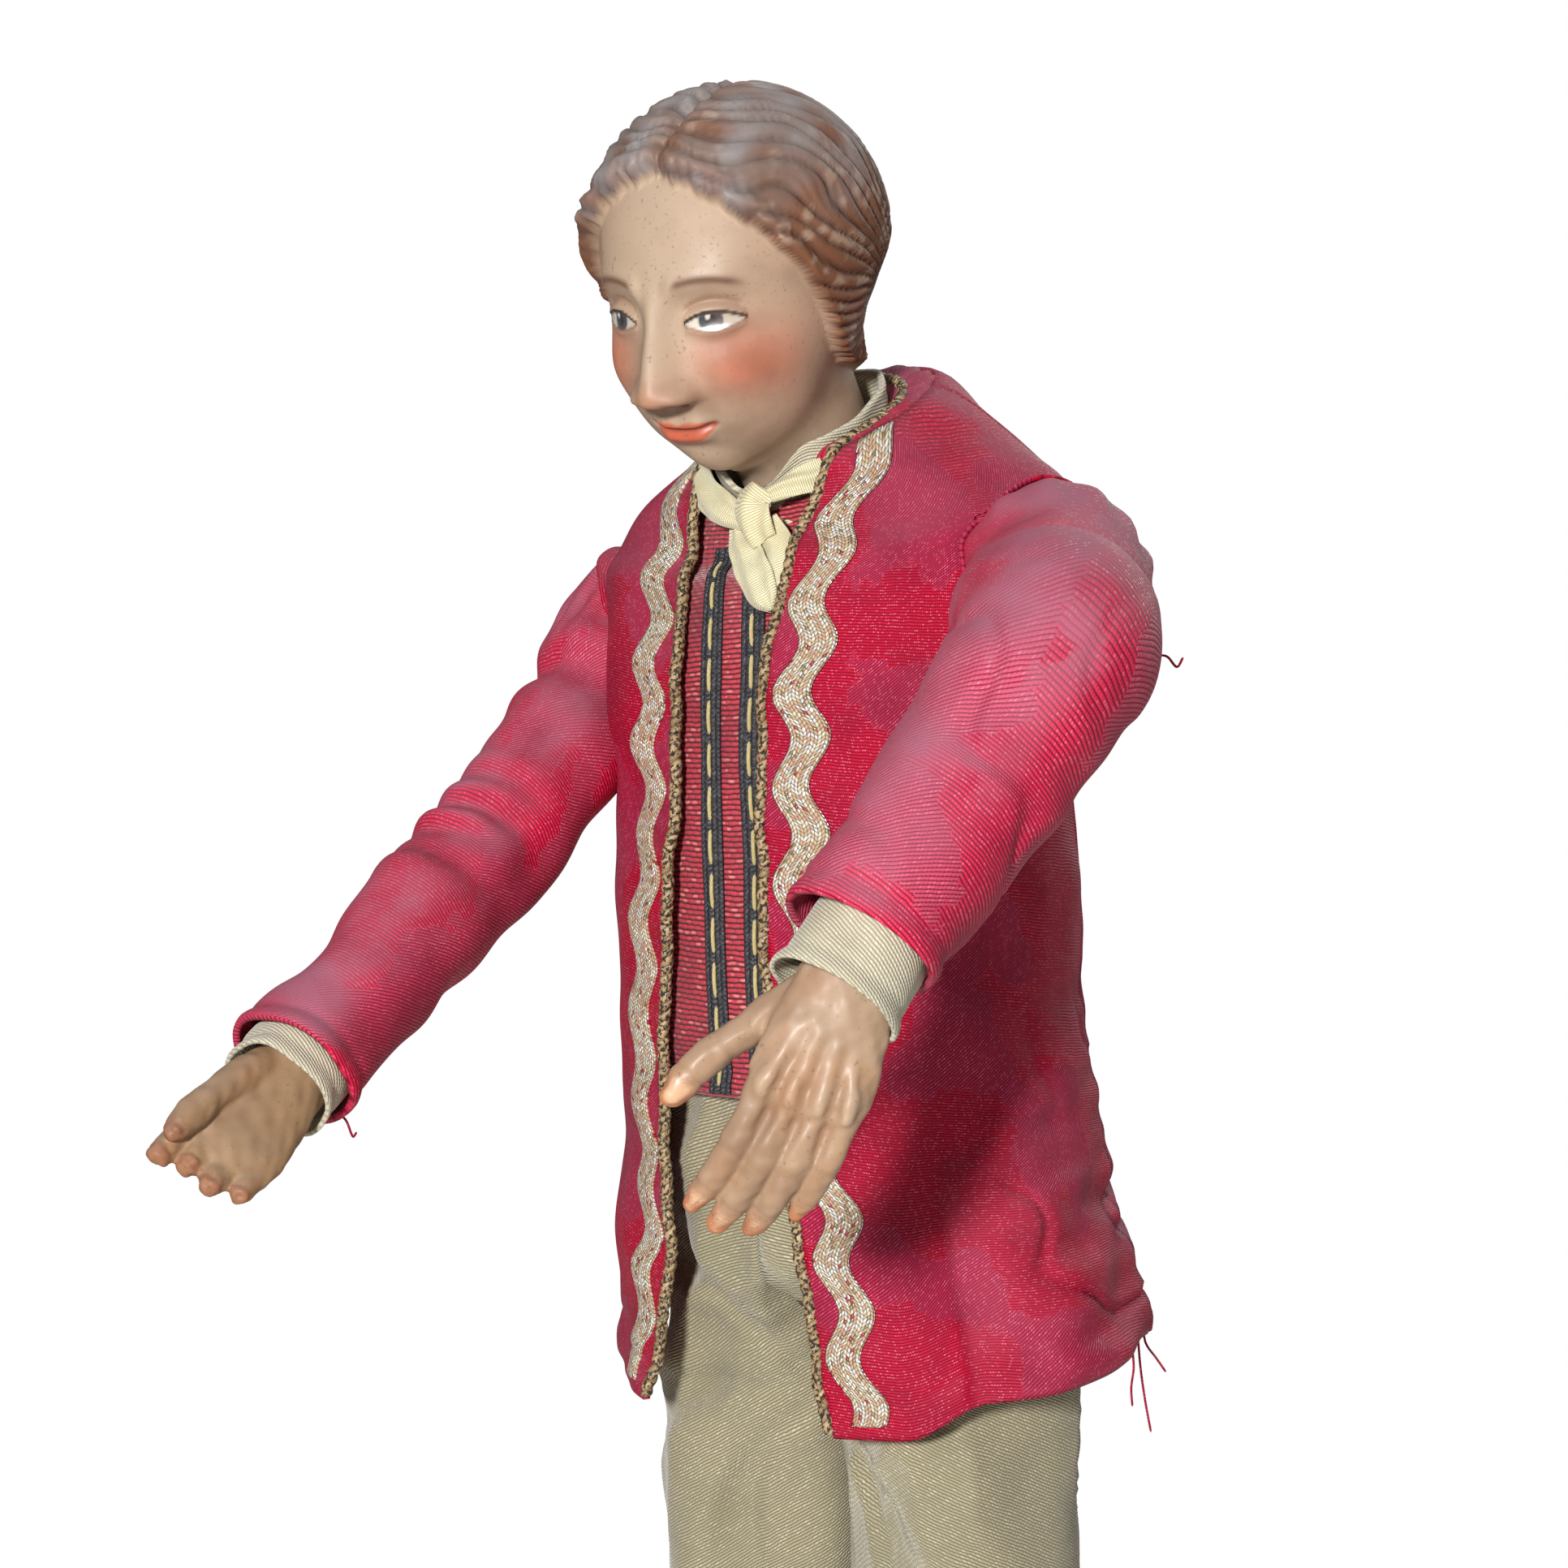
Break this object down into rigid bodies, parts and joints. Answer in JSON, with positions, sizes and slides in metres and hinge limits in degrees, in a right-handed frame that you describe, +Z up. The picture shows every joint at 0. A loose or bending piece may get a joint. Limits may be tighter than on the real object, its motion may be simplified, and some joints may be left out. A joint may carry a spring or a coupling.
{
  "type": "nativity scene figure",
  "caption": "Jointed wooden nativity scene figure in a red coat with waved gilt braid, vest, neckerchief and beige trousers, arms held out, on a plain wooden stand.",
  "frame": {"origin": "centre of the stand's flat underside", "axes": "+Z up, the figure faces -Y, +X is the figure's own left"},
  "size_m": [0.1251, 0.1385, 0.3235],
  "materials": {
    "stand_wood": "waxed",
    "bare_wood": "raw",
    "painted_skin": "worn satin paint",
    "crimson_silk": "woven sheen",
    "ribbed_red": "ribbed",
    "black_braid": "braided",
    "gilded_braid": "metallic thread",
    "gimp_cord": "corded",
    "cream_linen": "plain weave",
    "yellow_silk": "soft sheen",
    "beige_wool": "twill",
    "wadding": "matt",
    "shoe_leather": "polished",
    "steel": "plain"
  },
  "bodies": {
    "body": {"base_plate": "stand_wood", "left_foot_peg": "bare_wood", "right_foot_peg": "bare_wood", "left_shoe": "shoe_leather", "right_shoe": "shoe_leather", "left_leg": "bare_wood", "right_leg": "bare_wood", "left_hip_dowel": "bare_wood", "right_hip_dowel": "bare_wood", "pelvis_block": "bare_wood", "waist_dowel": "bare_wood", "chest_block": "bare_wood", "torso_padding": "wadding", "vest": "ribbed_red", "coat_body": "crimson_silk", "trousers": "beige_wool", "left_wave_braid": "gilded_braid", "right_wave_braid": "gilded_braid", "left_edge_cord": "gimp_cord", "right_edge_cord": "gimp_cord", "left_vest_braid": "black_braid", "right_vest_braid": "black_braid", "shirt_collar": "cream_linen", "neckerchief_band": "yellow_silk", "neckerchief_knot": "yellow_silk", "neckerchief_long_tail": "yellow_silk", "neckerchief_short_tail": "yellow_silk"},
    "neck": {"neck_spindle": "bare_wood"},
    "head": {"head": "painted_skin", "nod_pin": "steel"},
    "left_hub": {"left_shoulder_hub": "bare_wood"},
    "left_arm": {"left_upper_arm": "bare_wood", "left_shoulder_pin": "steel", "left_sleeve": "crimson_silk"},
    "left_fore": {"left_forearm": "bare_wood", "left_elbow_pin": "steel", "left_cuff": "cream_linen"},
    "left_hand": {"left_hand": "painted_skin"},
    "right_hub": {"right_shoulder_hub": "bare_wood"},
    "right_arm": {"right_upper_arm": "bare_wood", "right_shoulder_pin": "steel", "right_sleeve": "crimson_silk"},
    "right_fore": {"right_forearm": "bare_wood", "right_elbow_pin": "steel", "right_cuff": "cream_linen"},
    "right_hand": {"right_hand": "painted_skin"}
  },
  "joints": [
    {"name": "neck_turn", "type": "hinge", "parent": "body", "child": "neck", "pos_m": [0, -0.004, 0.27535], "axis": [0, -0.4067, 0.9135], "range_deg": [-45, 45]},
    {"name": "head_nod", "type": "hinge", "parent": "neck", "child": "head", "pos_m": [0, -0.004, 0.27535], "axis": [1, 0, 0], "range_deg": [-10, 6]},
    {"name": "left_shoulder_swing", "type": "hinge", "parent": "body", "child": "left_hub", "pos_m": [0.038, 0, 0.26035], "axis": [-1, 0, 0], "range_deg": [-50, 25], "deforming": ["left_sleeve"]},
    {"name": "left_shoulder_lift", "type": "hinge", "parent": "left_hub", "child": "left_arm", "pos_m": [0.038, 0, 0.26035], "axis": [0, -0.2588, 0.9659], "range_deg": [-20, 30], "deforming": ["left_sleeve"]},
    {"name": "left_elbow", "type": "hinge", "parent": "left_arm", "child": "left_fore", "pos_m": [0.06496, -0.03719, 0.25039], "axis": [0.5374, 0.5588, -0.6316], "range_deg": [-50, 45], "deforming": ["left_sleeve"]},
    {"name": "left_wrist", "type": "hinge", "parent": "left_fore", "child": "left_hand", "pos_m": [0.05839, -0.06837, 0.21721], "axis": [0.1427, 0.6779, 0.7212], "range_deg": [-60, 60]},
    {"name": "right_shoulder_swing", "type": "hinge", "parent": "body", "child": "right_hub", "pos_m": [-0.038, 0, 0.25335], "axis": [-1, 0, 0], "range_deg": [-11, 45], "deforming": ["right_sleeve"]},
    {"name": "right_shoulder_lift", "type": "hinge", "parent": "right_hub", "child": "right_arm", "pos_m": [-0.038, 0, 0.25335], "axis": [0, 0.6428, -0.766], "range_deg": [0, 40], "deforming": ["right_sleeve"]},
    {"name": "right_elbow", "type": "hinge", "parent": "right_arm", "child": "right_fore", "pos_m": [-0.03309, -0.03581, 0.2233], "axis": [-0.9945, -0.0801, -0.0672], "range_deg": [-8, 85], "deforming": ["right_sleeve"]},
    {"name": "right_wrist", "type": "hinge", "parent": "right_fore", "child": "right_hand", "pos_m": [-0.02835, -0.07545, 0.20046], "axis": [-0.1029, 0.8619, 0.4965], "range_deg": [-60, 60]}
  ]
}
